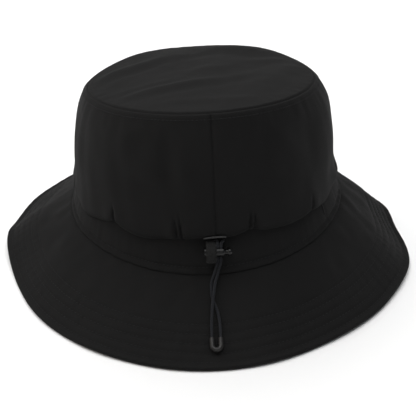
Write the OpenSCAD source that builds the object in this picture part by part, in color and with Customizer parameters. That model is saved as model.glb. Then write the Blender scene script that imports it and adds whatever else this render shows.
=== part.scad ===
// Bucket hat with a gathered crown, a stitched two-ply brim and a cord lock at the back.
// +Z is up, +Y is the front, the hat stands on the edge of its brim at z = 0.
// Every fabric ring is an oval: half width across X, half length along Y, height, side rise.

/* [Brim] */
// Width of the brim, side to side
brim_width = 288; // [270:1:310]
// Length of the brim, back to front
brim_length = 304; // [286:1:326]
// Rise of the brim's edge at the two sides
brim_side_rise = 1; // [0:0.5:12]
// Width of the flat rim that the hat rests on
rest_rim = 3; // [2:0.5:5]

/* [Head opening] */
// Width across the seam between band and brim
seam_width = 190; // [180:1:196]
// Length across the seam between band and brim
seam_length = 202; // [194:1:210]
// Height of the seam at the back and the front
seam_height = 38; // [32:1:44]
// How much higher the seam runs at the sides
seam_side_rise = 4.7; // [0:0.1:8]

/* [Crown] */
// Width of the oval top panel
tip_width = 155; // [150:1:166]
// Length of the oval top panel
tip_length = 174; // [166:1:180]
// Height of the seam around the top panel
tip_height = 132.5; // [120:0.5:145]
// How much lower the top panel hangs at the sides
tip_side_drop = 2; // [0:0.5:10]
// Dome of the top panel above its seam
tip_dome = 4; // [1:0.5:8]
// Width of the side wall just above its gathered lower edge
wall_width = 185; // [182:1:190]
// Height of the gathered lower edge at the back and the front
wall_edge_height = 60.3; // [59:0.1:62]
// Lean of the crown towards the left side, in degrees
crown_lean = 2.3; // [0:0.1:5]
// Rise of the top panel towards the back, in degrees
crown_pitch = 8; // [0:0.5:9]

/* [Fabric] */
// Thickness of the outer fabric
shell_t = 1.2; // [0.8:0.1:1.2]
// Thickness of each brim ply
brim_ply_t = 1; // [0.6:0.1:1.2]
// Thickness of the stiffening ply inside the brim
interlining_t = 0.7; // [0.4:0.1:1]
// Thickness of the lining
lining_t = 0.5; // [0.3:0.1:0.8]
// Thickness of the sweatband
sweatband_t = 1; // [0.6:0.1:1.2]

/* [Cord and lock] */
// Diameter of the elastic cord
cord_d = 1.9; // [1.5:0.1:2]
// Diameter of the lock's barrel
barrel_d = 6.4; // [6:0.1:6.6]
// Travel of the lock's plunger
press_travel = 2; // [1:0.1:2.4]
// Width of the webbing loop that holds the lock
tab_width = 6.3; // [5:0.1:6.4]

/* [Hidden] */

steps = 24;            // facets along half an oval
half = 180;            // degrees in half an oval
seam_gap = 0.04;       // degrees between the halves at each seam
ply_gap = 0.1;
fit_gap = 0.3;         // clearance between pieces that move
cord_r = cord_d / 2;

fabric = [0.12, 0.12, 0.125];
inner_fabric = [0.09, 0.09, 0.095];
trim = [0.17, 0.17, 0.17];
plastic = [0.08, 0.08, 0.085];

// ---- Ovals and profiles. A station is [half width, half length, height, side rise]. ----

function clamp01(v) = min(1, max(0, v));
function mix(p, q, t) = p + (q - p) * t;
function side(u) = pow(sin(u), 2);
// The resting arcs at the back and the front stay level before the sides rise.
function level_side(u) = max(0, side(u) - 0.1) / 0.9;

band_top_height = 66.5;
pitch_from = band_top_height;

// Leans the crown sideways and lifts its top panel towards the back.
function lean(p) =
    let (x = p[0], y = p[1], z = p[2],
         shift = tan(crown_lean) * max(0, z - seam_height),
         tilt = tan(crown_lean) * x * clamp01(z / seam_height),
         rise = tan(crown_pitch) * -y * clamp01((z - pitch_from) / (tip_height - pitch_from)))
    [x - shift, y, z + tilt + rise];

// A point on a station's oval, at u degrees round from the back towards the right.
function oval_point(s, u) = lean([s[0] * sin(u), -s[1] * cos(u), s[2] + s[3] * side(u)]);
function brim_point(s, u) =
    lean([s[0] * sin(u), -s[1] * cos(u),
          s[2] + mix(seam_side_rise * side(u), brim_side_rise * level_side(u), s[3])]);

// Unit normal of a profile at station i, pointing away from the head.
function normal(profile, i) =
    let (p = profile[max(0, i - 1)], q = profile[min(len(profile) - 1, i + 1)],
         d = [q[0] - p[0], q[2] - p[2]])
    [-d[1], d[0]] / norm(d);

// The same profile moved outwards by distance.
function offset_profile(profile, distance) =
    [for (i = [0:len(profile) - 1])
        let (s = profile[i], n = normal(profile, i) * distance)
        [s[0] + n[0], s[1] + n[0], s[2] + n[1], s[3]]];

// Moves a station straight in towards the head.
function inset(s, distance) = [s[0] - distance, s[1] - distance, s[2], s[3]];
function right_half() = [for (i = [0:steps]) mix(seam_gap, half - seam_gap, i / steps)];
function left_half() = [for (u = right_half()) u - half];
function full_oval() = [for (i = [0:2 * steps - 1]) i * half / steps];

// ---- Solids made from grids of points. ----

// Closed solid between an outer and an inner grid. Rows run down, columns run round.
module cloth(outer, inner, wrap = false) {
    rows = len(outer);
    cols = len(outer[0]);
    last = wrap ? cols : cols - 1;
    function o(i, j) = i * cols + j % cols;
    function n(i, j) = rows * cols + i * cols + j % cols;
    sheet_faces = [for (i = [0:rows - 2], j = [0:last - 1]) each [
        [o(i, j), o(i, j + 1), o(i + 1, j + 1)], [o(i, j), o(i + 1, j + 1), o(i + 1, j)],
        [n(i, j), n(i + 1, j + 1), n(i, j + 1)], [n(i, j), n(i + 1, j), n(i + 1, j + 1)]]];
    edge_faces = [for (j = [0:last - 1], e = [0, rows - 1])
        let (a = o(e, j), b = o(e, j + 1), c = n(e, j), d = n(e, j + 1))
        each (e == 0 ? [[c, d, b], [c, b, a]] : [[a, b, d], [a, d, c]])];
    end_faces = wrap ? [] : [for (i = [0:rows - 2], e = [0, cols - 1])
        let (a = o(i, e), b = o(i + 1, e), c = n(i, e), d = n(i + 1, e))
        each (e == 0 ? [[c, a, b], [c, b, d]] : [[a, c, d], [a, d, b]])];
    polyhedron(concat([for (row = outer) each row], [for (row = inner) each row]),
               concat(sheet_faces, edge_faces, end_faces), convexity = 6);
}

// A ply that hangs inwards from a crown profile by its thickness.
module crown_ply(profile, thickness, angles, wrap = false) {
    inner = offset_profile(profile, -thickness);
    cloth([for (s = profile) [for (u = angles) oval_point(s, u)]],
          [for (s = inner) [for (u = angles) oval_point(s, u)]], wrap);
}

// A brim ply between two distances above the brim's lower face.
module brim_ply(profile, low, high, angles, wrap = false) {
    top = offset_profile(profile, high);
    bottom = offset_profile(profile, low);
    cloth([for (s = top) [for (u = angles) brim_point(s, u)]],
          [for (s = bottom) [for (u = angles) brim_point(s, u)]], wrap);
}

// An oval cap: rings of [inset, height] closed by a centre point, with a thickness.
module cap(rings, thickness) {
    us = full_oval();
    cols = len(us);
    count = len(rings);
    function ring(r, dz) =
        [for (u = us) oval_point([tip_width / 2 - r[0], tip_length / 2 - r[0],
                                  tip_height + r[1] + dz, -tip_side_drop], u)];
    crest = tip_height + rings[count - 1][1] + 0.2;
    points = concat([for (r = rings) each ring(r, 0)], [for (r = rings) each ring(r, -thickness)],
                    [lean([0, 0, crest]) - [0, 0, tip_side_drop / 2],
                     lean([0, 0, crest - thickness]) - [0, 0, tip_side_drop / 2]]);
    function o(i, j) = i * cols + j % cols;
    function n(i, j) = (count + i) * cols + j % cols;
    top_point = 2 * count * cols;
    faces = concat(
        [for (i = [0:count - 2], j = [0:cols - 1]) each [
            [o(i + 1, j), o(i + 1, j + 1), o(i, j + 1)], [o(i + 1, j), o(i, j + 1), o(i, j)],
            [n(i + 1, j), n(i, j + 1), n(i + 1, j + 1)], [n(i + 1, j), n(i, j), n(i, j + 1)]]],
        [for (j = [0:cols - 1]) each [
            [o(count - 1, j), top_point, o(count - 1, j + 1)],
            [n(count - 1, j), n(count - 1, j + 1), top_point + 1],
            [o(0, j), o(0, j + 1), n(0, j + 1)], [o(0, j), n(0, j + 1), n(0, j)]]]);
    polyhedron(points, faces, convexity = 6);
}

// Round cord swept along a route: each ring faces along the route and keeps its own up.
module tube(route, radius, sides = 8) {
    count = len(route);
    function along(i) =
        let (d = route[min(count - 1, i + 1)] - route[max(0, i - 1)]) d / norm(d);
    function across(i) =
        let (t = along(i), up = abs(t[2]) > 0.9 ? [0, 1, 0] : [0, 0, 1], c = cross(t, up))
        c / norm(c);
    // Each ring's first side follows on from the ring before it, so the tube never twists.
    function carried(i, v) =
        let (t = along(i), w = v - t * (v * t)) w / norm(w);
    firsts = [for (i = 0, v = across(0); i < count; i = i + 1,
                   v = i < count ? carried(i, v) : v) v];
    points = [for (i = [0:count - 1], k = [0:sides - 1])
        let (a = k * 360 / sides, c = firsts[i], s = cross(along(i), c))
        route[i] + radius * (c * cos(a) + s * sin(a))];
    walls = [for (i = [0:count - 2], k = [0:sides - 1])
        let (a = i * sides + k, b = i * sides + (k + 1) % sides)
        each [[a, b + sides, b], [a, a + sides, b + sides]]];
    caps = [[for (k = [0:sides - 1]) k], [for (k = [sides - 1:-1:0]) (count - 1) * sides + k]];
    polyhedron(points, concat(walls, caps), convexity = 10);
}

// ---- Crown ----

tip_a = tip_width / 2;
tip_b = tip_length / 2;
wall_a = wall_width / 2;
wall_b = wall_a + 4.2;
wall_side_drop = -3.5;

// The outer face of the side wall, from the top seam over the shoulder to the puffed hem.
wall_profile = [
    [tip_a, tip_b, tip_height, -tip_side_drop],
    [tip_a + 3.5, tip_b + 2.8, tip_height - 5, -2.2],
    [tip_a + 7.2, tip_b + 5.4, tip_height - 14, -2.8],
    [tip_a + 10.2, tip_b + 7, tip_height - 28, -3.6],
    [tip_a + 11.6, tip_b + 7.6, tip_height - 44, -4],
    [wall_a - 0.5, wall_b, wall_edge_height + 16, -4],
    [wall_a + 0.8, wall_b + 1.2, wall_edge_height + 7, wall_side_drop],
    [wall_a + 0.4, wall_b + 0.7, wall_edge_height + 2, wall_side_drop],
    [wall_a - 0.2, wall_b, wall_edge_height, wall_side_drop]];

module crown_side(angles) {
    color(fabric) crown_ply(wall_profile, shell_t, angles);
}
module crown_side_left() { crown_side(left_half()); }
module crown_side_right() { crown_side(right_half()); }

module crown_tip() {
    color(fabric)
        cap([[1, 0.3], [4, 0.55 * tip_dome], [12, 0.8 * tip_dome], [30, tip_dome],
             [56, tip_dome]], shell_t);
}

// ---- Band between wall and brim, with the cord's channel behind it ----

seam_a = seam_width / 2;
seam_b = seam_length / 2 + 0.2;
band_top = [wall_a - 4.9, wall_b - 4.5, band_top_height, -2];
band_bottom = [seam_a, seam_b, seam_height + 0.4, seam_side_rise];
function band_station(t, distance) = inset(mix(band_top, band_bottom, t), distance);

cord_row = 0.3;                       // how far down the band the channel lies
channel = cord_d + 2 * fit_gap + 0.1; // room for the cord between band and sweatband
exit_slot = [10, 6, 4.4];              // way out of the channel for the cord's two ends

module band(angles) {
    color(fabric)
        crown_ply([for (t = [0, 0.5, 1]) band_station(t, 0)], shell_t, angles);
}
module band_left() { band(left_half()); }
module band_right() {
    difference() {
        band(right_half());
        translate([-0.5, -98, 56]) cube(exit_slot);
    }
}

module sweatband() {
    behind = shell_t + channel;
    color(inner_fabric)
        crown_ply([band_station(-0.06, behind), band_station(0.3, behind),
                   band_station(0.6, behind - 0.3), band_station(0.85, shell_t + 0.9),
                   band_station(1, shell_t + 0.2)], sweatband_t, full_oval(), wrap = true);
}

// ---- Lining ----

lining_profile = concat(
    [for (i = [1:5]) offset_profile(wall_profile, -shell_t - 0.4)[i]],
    [[band_top[0] + 0.6, band_top[1] + 0.6, band_top_height + 5, -2.5],
     [band_top[0] - 4, band_top[1] - 4, band_top_height + 2.6, -2]]);

module lining_side(angles) {
    color(inner_fabric) crown_ply(lining_profile, lining_t, angles);
}
module lining_side_left() { lining_side(left_half()); }
module lining_side_right() { lining_side(right_half()); }

module lining_tip() {
    color(inner_fabric)
        cap([[3, -2.2], [12, 0.8 * tip_dome - shell_t - 0.6], [30, tip_dome - shell_t - 0.6],
             [56, tip_dome - shell_t - 0.6]], lining_t);
}

module care_label() {
    label_angle = -24;
    color([0.55, 0.55, 0.54])
        translate([(wall_a - 11) * sin(label_angle), -(wall_b - 11.5) * cos(label_angle), 78])
            rotate([0, 0, label_angle]) cube([20, 0.4, 26], center = true);
}

// ---- Brim ----

brim_t = 2 * brim_ply_t + interlining_t + 2 * ply_gap;
brim_a = brim_width / 2;
brim_b = brim_length / 2;
// Lower face of the brim at a fraction k of the way out; the last value picks the side rise.
under_start = [seam_a - 1.5, seam_b - 1.5, seam_height - 2.4, 0];
under_edge = [brim_a - rest_rim, brim_b - rest_rim, 0, 1];
under_profile = concat(
    [for (k = [0:0.25:1]) mix(under_start, under_edge, k)],
    [[brim_a, brim_b, 0, 1]]);
inner_profile = [for (k = [0.02, 0.35, 0.68, 0.98]) mix(under_start, under_edge, k)];

module brim_top(angles) {
    color(fabric) brim_ply(under_profile, brim_t - brim_ply_t, brim_t, angles);
}
module brim_top_left() { brim_top(left_half()); }
module brim_top_right() { brim_top(right_half()); }

module brim_under(angles) {
    color(fabric) brim_ply(under_profile, 0, brim_ply_t, angles);
}
module brim_under_left() { brim_under(left_half()); }
module brim_under_right() { brim_under(right_half()); }

module brim_interlining() {
    low = brim_ply_t + ply_gap;
    color(trim) brim_ply(inner_profile, low, low + interlining_t, full_oval(), wrap = true);
}

// ---- Cord lock at the centre back. Its axis runs along X. ----

lock_y = -102.2;
lock_z = 54.4;
barrel_r = barrel_d / 2;
bore_r = 2.2;
shaft_r = bore_r - fit_gap;
barrel_x = [-7, 5.9];
bore_x = -5.6;
front_cord_x = 3.9;
rear_cord_x = 1.8;
slot_x = rear_cord_x - cord_r - fit_gap;
slot_end_x = front_cord_x + cord_r + fit_gap;
slot_y = cord_d + 2 * fit_gap;
knob_x = barrel_x[1] + press_travel + 0.3;

// Puts a piece drawn along Z onto the lock's axis, starting at x.
module on_lock_axis(x) {
    translate([x, lock_y, lock_z]) rotate([0, 90, 0]) children();
}

module lock_barrel() {
    length = barrel_x[1] - barrel_x[0];
    color(plastic)
        difference() {
            on_lock_axis(barrel_x[0]) rotate_extrude($fn = 48)
                polygon([[0, 0], [barrel_r - 1, 0], [barrel_r - 0.3, 0.3], [barrel_r, 1],
                         [barrel_r, length - 0.6], [barrel_r - 0.4, length], [0, length]]);
            on_lock_axis(bore_x) cylinder(h = 20, r = bore_r, $fn = 48);
            translate([slot_x, lock_y - slot_y / 2, lock_z - 10])
                cube([slot_end_x - slot_x, slot_y, 20]);
        }
}

module lock_plunger() {
    shaft_x = -0.6;
    knob_r = 2.7;
    knob_l = 2.6;
    neck = knob_x - shaft_x;
    color(plastic)
        difference() {
            on_lock_axis(shaft_x) rotate_extrude($fn = 48)
                polygon([[0, 0], [shaft_r, 0], [shaft_r, neck], [knob_r - 0.4, neck],
                         [knob_r, neck + 0.5], [knob_r, neck + knob_l - 0.9],
                         [knob_r - 0.7, neck + knob_l], [0, neck + knob_l]]);
            translate([slot_x, lock_y - slot_y / 2, lock_z - 10])
                cube([slot_end_x - slot_x + press_travel, slot_y, 20]);
        }
}

module lock_spring() {
    wire_r = 0.2;
    coil_r = 1.5;
    turns = 6;
    per_turn = 10;
    start = bore_x + 2 * wire_r;
    length = 4.3;
    color([0.6, 0.6, 0.6])
        tube([for (i = [0:turns * per_turn])
                 let (a = i * 360 / per_turn)
                 [start + length * i / (turns * per_turn),
                  lock_y + coil_r * cos(a), lock_z + coil_r * sin(a)]], wire_r, 6);
}

// Webbing loop: hangs from the wall's hem, passes round the barrel and back up behind it.
module lock_tab() {
    webbing_t = 0.8;
    inside = [[5.4, 3.4], [3.6, 1.2], [3.4, -1], [2.2, -5.2], [0.4, -7], [-1.4, -6.4],
              [-3.3, -2], [-3.3, 1.4], [-1.6, 3.6], [5.4, 4.3]];
    color(trim)
        translate([-6, lock_y, lock_z]) rotate([90, 0, 90]) linear_extrude(tab_width)
            difference() {
                offset(r = webbing_t, $fn = 24) polygon(inside);
                polygon(inside);
            }
}

// Stiff sewn bar on the hem, over the cord's way out.
module cord_exit_bar() {
    bar = [15, 0.9, 2.6];
    color(trim)
        translate([-7.2, -98.8, wall_edge_height + 0.6]) cube(bar);
}

// ---- Elastic cord. One end comes out of the channel, the other goes back in. ----

cord_ring = band_station(cord_row, shell_t + fit_gap + cord_r + 0.05);
cord_bottom = lock_z - barrel_r - 0.4;
front_end = [[front_cord_x, lock_y, cord_bottom], [front_cord_x, lock_y, lock_z],
             [front_cord_x, lock_y, 57.4], [4, -101.2, 58.8], [4.8, -97.5, 59],
             [6.4, -93.6, 58.3]];
rear_end = [[-3.6, -92.3, 58.1], [0, -92.7, 58.3], [1.7, -96.2, 58.9],
            [rear_cord_x, -101, 58.8], [rear_cord_x, lock_y, 57.4],
            [rear_cord_x, lock_y, lock_z], [rear_cord_x, lock_y, cord_bottom]];

module drawcord() {
    turn = half / steps;
    color(trim)
        tube(concat(front_end, [for (u = [turn + 2:turn:360 - turn]) oval_point(cord_ring, u)],
                    rear_end), cord_r);
}

// The tail: two strands that leave the lock's lower face, cross once and end in a moulded U.
stub_z = cord_bottom - 2;
front_stub = [[front_cord_x, lock_y, stub_z], [3.6, -102.5, 46.4], [3, -103.1, 43.8],
              [2.3, -104.1, 41.2]];
rear_stub = [[rear_cord_x, lock_y, stub_z], [1.6, -102.4, 46.4], [0.95, -102.9, 43.8],
             [0.1, -103.8, 41.4]];
front_strand = [[2, -104.7, 40.4], [0.6, -107.8, 37.6], [-0.3, -110.4, 35.9],
                [-0.9, -113, 34.1], [-1.5, -116, 32], [-2.2, -119, 29.2],
                [-3, -124.3, 24.4], [-3.6, -129.5, 19.9], [-3.8, -134.3, 16.4],
                [-3.9, -139.35, 12.8]];
rear_strand = [[-0.2, -104.5, 40.4], [-1.6, -106.4, 37.2], [-2.6, -109, 34.2],
               [-2.7, -112, 31.9], [-2.5, -115, 29.7], [-1.5, -118.5, 27.1], [0, -122, 24.6],
               [1.1, -126.2, 21.6], [1.6, -131.4, 18.2], [1.6, -139.35, 12.8]];

module cord_stub_left() { color(trim) tube(rear_stub, cord_r); }
module cord_stub_right() { color(trim) tube(front_stub, cord_r); }
module cord_tail_left() { color(trim) tube(front_strand, cord_r); }
module cord_tail_right() { color(trim) tube(rear_strand, cord_r); }

module cord_end() {
    slope = 36.3;      // of the brim that it lies on, in degrees
    leg_gap = 2.75;    // half the distance between the two legs
    leg_r = 1.6;
    leg_l = 5;
    leg_start = [-1.15, -138.04, 13.76];
    color(plastic)
        translate(leg_start) rotate([slope, 0, 0])
            difference() {
                union() {
                    for (x = [-leg_gap, leg_gap])
                        translate([x, 0, 0]) rotate([90, 0, 0])
                            cylinder(h = leg_l, r = leg_r, $fn = 32);
                    translate([0, -leg_l, 0]) rotate([0, 0, 180])
                        rotate_extrude(angle = 180, $fn = 48)
                            translate([leg_gap, 0]) circle(leg_r, $fn = 32);
                }
                for (x = [-leg_gap, leg_gap])
                    translate([x, 1, 0]) rotate([90, 0, 0])
                        cylinder(h = 3.8, r = cord_r + 0.15, $fn = 32);
            }
}

crown_tip();
crown_side_left();
crown_side_right();
band_left();
band_right();
brim_top_left();
brim_top_right();
brim_interlining();
brim_under_left();
brim_under_right();
sweatband();
lining_tip();
lining_side_left();
lining_side_right();
care_label();
drawcord();
cord_exit_bar();
lock_tab();
lock_barrel();
lock_plunger();
lock_spring();
cord_stub_left();
cord_stub_right();
cord_tail_left();
cord_tail_right();
cord_end();
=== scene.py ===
# %% [markdown]
# # A soft black bucket hat
# The real hat is sewn from thin stretch fabric: an oval top panel, two side panels whose lower hem
# is gathered by an elastic cord, a plain band, and a brim of two plies quilted together. A small
# cord lock hangs at the back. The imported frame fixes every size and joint. This script only gives
# each piece the surface that cloth, cord and moulded plastic really have.

# %% The frame and a few shared words
import math

import bmesh
import bpy
import numpy as np
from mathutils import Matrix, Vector


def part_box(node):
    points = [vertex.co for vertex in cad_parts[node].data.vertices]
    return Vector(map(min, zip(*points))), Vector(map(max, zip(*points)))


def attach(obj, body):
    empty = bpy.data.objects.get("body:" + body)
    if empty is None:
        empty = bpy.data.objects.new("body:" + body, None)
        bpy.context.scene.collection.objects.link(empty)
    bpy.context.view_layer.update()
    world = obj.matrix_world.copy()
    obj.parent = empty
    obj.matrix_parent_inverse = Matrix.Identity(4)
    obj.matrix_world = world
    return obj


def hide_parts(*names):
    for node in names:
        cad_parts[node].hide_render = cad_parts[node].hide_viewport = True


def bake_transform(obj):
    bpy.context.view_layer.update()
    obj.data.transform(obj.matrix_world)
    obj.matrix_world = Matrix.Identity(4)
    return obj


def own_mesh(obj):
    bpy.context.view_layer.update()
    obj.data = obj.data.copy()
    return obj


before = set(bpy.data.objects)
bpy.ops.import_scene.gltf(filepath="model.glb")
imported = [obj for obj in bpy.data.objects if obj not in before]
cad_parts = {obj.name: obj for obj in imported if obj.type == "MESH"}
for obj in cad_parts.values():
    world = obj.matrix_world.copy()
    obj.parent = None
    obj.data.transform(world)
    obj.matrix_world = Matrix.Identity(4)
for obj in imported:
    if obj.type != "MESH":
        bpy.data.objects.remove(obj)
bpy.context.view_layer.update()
MM = 0.001
HAT = "hat"

# %% [markdown]
# ## The camera
# A long lens stands 0.8 m away, a little under 27 degrees above the table, and looks at the back of
# the hat. It aims below the middle of the crown, so the hat sits high in the frame. Turning the
# camera was chosen over shifting the lens, because other views then stay centred.

# %% Camera
CAMERA_AZIMUTH, CAMERA_ELEVATION = math.radians(-3.1), math.radians(26.9)
CAMERA_DISTANCE = 0.8
LENS_MM, SENSOR_MM = 97.9, 36.0
ORBIT_CENTRE = np.array([0.0, 0.0, 0.07])
AIM = (0.0005, -0.016, 0.038)


def aim_at(obj, place, aim):
    """Links an object into the scene at a place, with its -Z axis along the line to the aim."""
    bpy.context.scene.collection.objects.link(obj)
    obj.location = place
    obj.rotation_euler = Vector(np.subtract(aim, place)).to_track_quat("-Z", "Y").to_euler()


def make_camera():
    """Camera on a sphere round the orbit centre, turned to the aim."""
    level = math.cos(CAMERA_ELEVATION)
    direction = np.array([math.sin(CAMERA_AZIMUTH) * level, -math.cos(CAMERA_AZIMUTH) * level,
                          math.sin(CAMERA_ELEVATION)])
    data = bpy.data.cameras.new("Camera")
    data.lens, data.sensor_width = LENS_MM, SENSOR_MM
    camera = bpy.data.objects.new("Camera", data)
    aim_at(camera, ORBIT_CENTRE + CAMERA_DISTANCE * direction, AIM)
    bpy.context.scene.camera = camera


make_camera()

# %% [markdown]
# ## Curves and meshes from arrays
# Every new piece starts as a grid of points. A natural cubic spline turns a few stations into a
# smooth profile or route, and one helper turns a grid into a closed cloth shell: an outer face, an
# inner face one thickness behind it, and a strip round the open edges. Solidify could add the
# thickness, but a shell made here keeps its UV map in real metres for the weave.

# %% Splines


def spline(points, count):
    """Natural cubic spline through points, at count places evenly spaced along its length.

    The second derivatives m solve the usual band system over chord lengths h, and each span is the
    cubic (1-t)p0 + t*p1 + h*h/6 * (((1-t)^3-(1-t))m0 + (t^3-t)m1)."""
    p = np.asarray(points, float)
    h = np.maximum(np.linalg.norm(np.diff(p, axis=0), axis=1), 1e-9)
    n = len(p)
    band = np.eye(n)
    right = np.zeros_like(p)
    inner = np.arange(1, n - 1)
    band[inner, inner - 1] = h[:-1]
    band[inner, inner] = 2 * (h[:-1] + h[1:])
    band[inner, inner + 1] = h[1:]
    slopes = np.diff(p, axis=0) / h[:, None]
    right[inner] = 6 * np.diff(slopes, axis=0)
    m = np.linalg.solve(band, right)
    dense = np.linspace(0, n - 1, 40 * (n - 1) + 1)
    span = np.minimum(dense.astype(int), n - 2)
    t = (dense - span)[:, None]
    hh = h[span][:, None] ** 2 / 6
    curve = ((1 - t) * p[span] + t * p[span + 1]
             + hh * (((1 - t) ** 3 - (1 - t)) * m[span] + (t ** 3 - t) * m[span + 1]))
    along = np.concatenate([[0], np.cumsum(np.linalg.norm(np.diff(curve, axis=0), axis=1))])
    places = np.linspace(0, along[-1], count)
    return np.stack([np.interp(places, along, curve[:, k]) for k in range(p.shape[1])], 1)


def smooth(x, low, high):
    """0 below low, 1 above high, and 3t^2 - 2t^3 between."""
    t = np.clip((x - low) / (high - low), 0, 1)
    return t * t * (3 - 2 * t)


def bump_at(x, centre, width):
    """Bell curve exp(-((x - centre) / width)^2)."""
    return np.exp(-((x - centre) / width) ** 2)


def ripples(x, y, wavelength, seed, count=18):
    """Soft random relief of about +-1: a sum of cosines in random directions and phases."""
    dice = np.random.default_rng(seed)
    angle = dice.uniform(0, 2 * np.pi, count)
    k = 2 * np.pi / (wavelength * dice.uniform(0.7, 1.5, count))
    phase = dice.uniform(0, 2 * np.pi, count)
    total = np.zeros(np.broadcast(x, y).shape)
    for a, f, p in zip(angle, k, phase):
        total += np.cos(f * (np.cos(a) * x + np.sin(a) * y) + p)
    return total * math.sqrt(2.0 / count) * 0.7


# %% Meshes


def make_object(name, points, faces, uv=None):
    """Mesh object from points in millimetres, quads as rows of indices, and one UV per vertex."""
    mesh = bpy.data.meshes.new(name)
    points = np.ascontiguousarray(points, dtype=np.float32).reshape(-1, 3) * MM
    faces = np.ascontiguousarray(faces, dtype=np.int32)
    mesh.vertices.add(len(points))
    mesh.vertices.foreach_set("co", points.ravel())
    mesh.loops.add(faces.size)
    mesh.loops.foreach_set("vertex_index", faces.ravel())
    mesh.polygons.add(len(faces))
    starts = np.arange(len(faces), dtype=np.int32) * faces.shape[1]
    mesh.polygons.foreach_set("loop_start", starts)
    mesh.polygons.foreach_set("use_smooth", np.ones(len(faces), dtype=bool))
    mesh.update(calc_edges=True)
    if uv is not None:
        layer = mesh.uv_layers.new(name="UVMap")
        layer.data.foreach_set("uv", (np.asarray(uv, np.float32)[faces.ravel()] * MM).ravel())
    mesh.validate()
    mesh.set_sharp_from_angle(angle=math.radians(55))
    obj = bpy.data.objects.new(name, mesh)
    bpy.context.scene.collection.objects.link(obj)
    return obj


def grid_faces(rows, cols, wrap, first=0):
    """Quads of a grid, counter-clockwise seen from outside when rows run down and columns right."""
    i, j = np.meshgrid(np.arange(rows - 1), np.arange(cols if wrap else cols - 1), indexing="ij")
    i, j = i.ravel(), j.ravel()
    k = (j + 1) % cols
    return first + np.stack([i * cols + j, (i + 1) * cols + j, (i + 1) * cols + k, i * cols + k], 1)


def grid_normals(grid, wrap):
    """Unit normals of a grid: (down the rows) x (along the columns)."""
    down = np.gradient(grid, axis=0)
    if wrap:
        right = (np.roll(grid, -1, axis=1) - np.roll(grid, 1, axis=1)) / 2
    else:
        right = np.gradient(grid, axis=1)
    n = np.cross(down, right)
    return n / np.maximum(np.linalg.norm(n, axis=2, keepdims=True), 1e-12)


def on_grid(surface, rows, columns, *more):
    """Points of a surface at every pair of a row's and a column's value."""
    return surface(*np.meshgrid(rows, columns, indexing="ij"), *more)


def grid_uv(grid):
    """UV in millimetres: mean distance along the columns, and down the rows."""
    right = np.linalg.norm(np.diff(grid, axis=1), axis=2).mean(0)
    down = np.linalg.norm(np.diff(grid, axis=0), axis=2).mean(1)
    u = np.concatenate([[0], np.cumsum(right)])
    v = np.concatenate([[0], np.cumsum(down)])
    uu, vv = np.meshgrid(u, v)
    return np.stack([uu, vv], 2)


def cloth(name, grid, thickness, wrap=False):
    """Closed shell of cloth: the grid, the grid moved in by thickness, and its edge strips."""
    rows, cols = grid.shape[:2]
    inner = grid - grid_normals(grid, wrap) * thickness
    n = rows * cols
    outer_faces = grid_faces(rows, cols, wrap)
    inner_faces = grid_faces(rows, cols, wrap, n)[:, ::-1]
    j = np.arange(cols if wrap else cols - 1)
    k = (j + 1) % cols
    last = (rows - 1) * cols
    strips = [np.stack([n + j, j, k, n + k], 1),
              np.stack([last + j, n + last + j, n + last + k, last + k], 1)]
    if not wrap:
        i = np.arange(rows - 1)
        a, b = i * cols, (i + 1) * cols
        c, d = a + cols - 1, b + cols - 1
        strips += [np.stack([a, n + a, n + b, b], 1), np.stack([c, d, n + d, n + c], 1)]
    faces = np.concatenate([outer_faces, inner_faces] + strips)
    uv = grid_uv(grid).reshape(-1, 2)
    points = np.concatenate([grid.reshape(-1, 3), inner.reshape(-1, 3)])
    return make_object(name, points, faces, np.concatenate([uv, uv]))


def tube(name, route, radius, sides=16):
    """Round cord along a route. radius is one number or one for each ring. Each ring's frame is the
    last one's, turned only as far as the route turns, so the cord never twists."""
    route = np.asarray(route, float)
    count = len(route)
    t = np.gradient(route, axis=0)
    t /= np.linalg.norm(t, axis=1, keepdims=True)
    side = np.zeros_like(t)
    side[0] = np.cross(t[0], [0.3, 0.2, 0.93])
    for i in range(count):
        v = side[max(i - 1, 0)]
        v = v - t[i] * (v @ t[i])
        side[i] = v / np.linalg.norm(v)
    other = np.cross(t, side)
    a = np.linspace(0, 2 * np.pi, sides, endpoint=False)
    ring = side[:, None] * np.cos(a)[None, :, None] + other[:, None] * np.sin(a)[None, :, None]
    grid = route[:, None] + ring * np.broadcast_to(radius, (count,))[:, None, None]
    along = np.concatenate([[0], np.cumsum(np.linalg.norm(np.diff(route, axis=0), axis=1))])
    return closed_tube(name, grid, np.stack(np.meshgrid(a / (2 * np.pi) * 6, along), 2))


def closed_tube(name, grid, uv):
    """Closes both ends of a tube of rings with fans of quads, and turns every face outwards."""
    rows, cols = grid.shape[:2]
    even = np.arange(0, cols, 2)
    pairs = np.stack([even, even + 1, (even + 2) % cols], 1)
    caps = [np.column_stack([pairs + row * cols, np.full(len(even), rows * cols + end)])
            for end, row in enumerate((0, rows - 1))]
    points = np.concatenate([grid.reshape(-1, 3), grid[[0, -1]].mean(1)])
    uv = np.concatenate([uv.reshape(-1, 2), uv[[0, -1], 0]])
    obj = make_object(name, points, np.concatenate([grid_faces(rows, cols, True)] + caps), uv)
    bm = bmesh.new()
    bm.from_mesh(obj.data)
    bmesh.ops.recalc_face_normals(bm, faces=bm.faces)
    bm.to_mesh(obj.data)
    bm.free()
    return obj


def corners(node):
    """Lower and upper corner of a CAD node's box, in millimetres."""
    return (np.array(corner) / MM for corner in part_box(node))


def finish_piece(obj, material, slot, *nodes, body=HAT):
    """Gives a piece its material, hides its CAD node and lets it ride a body; slot is not used."""
    obj.data.materials.append(material)
    if nodes:
        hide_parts(*nodes)
    if body:
        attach(obj, body)
    print(obj.name, "quads:", len(obj.data.polygons))
    return obj


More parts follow.
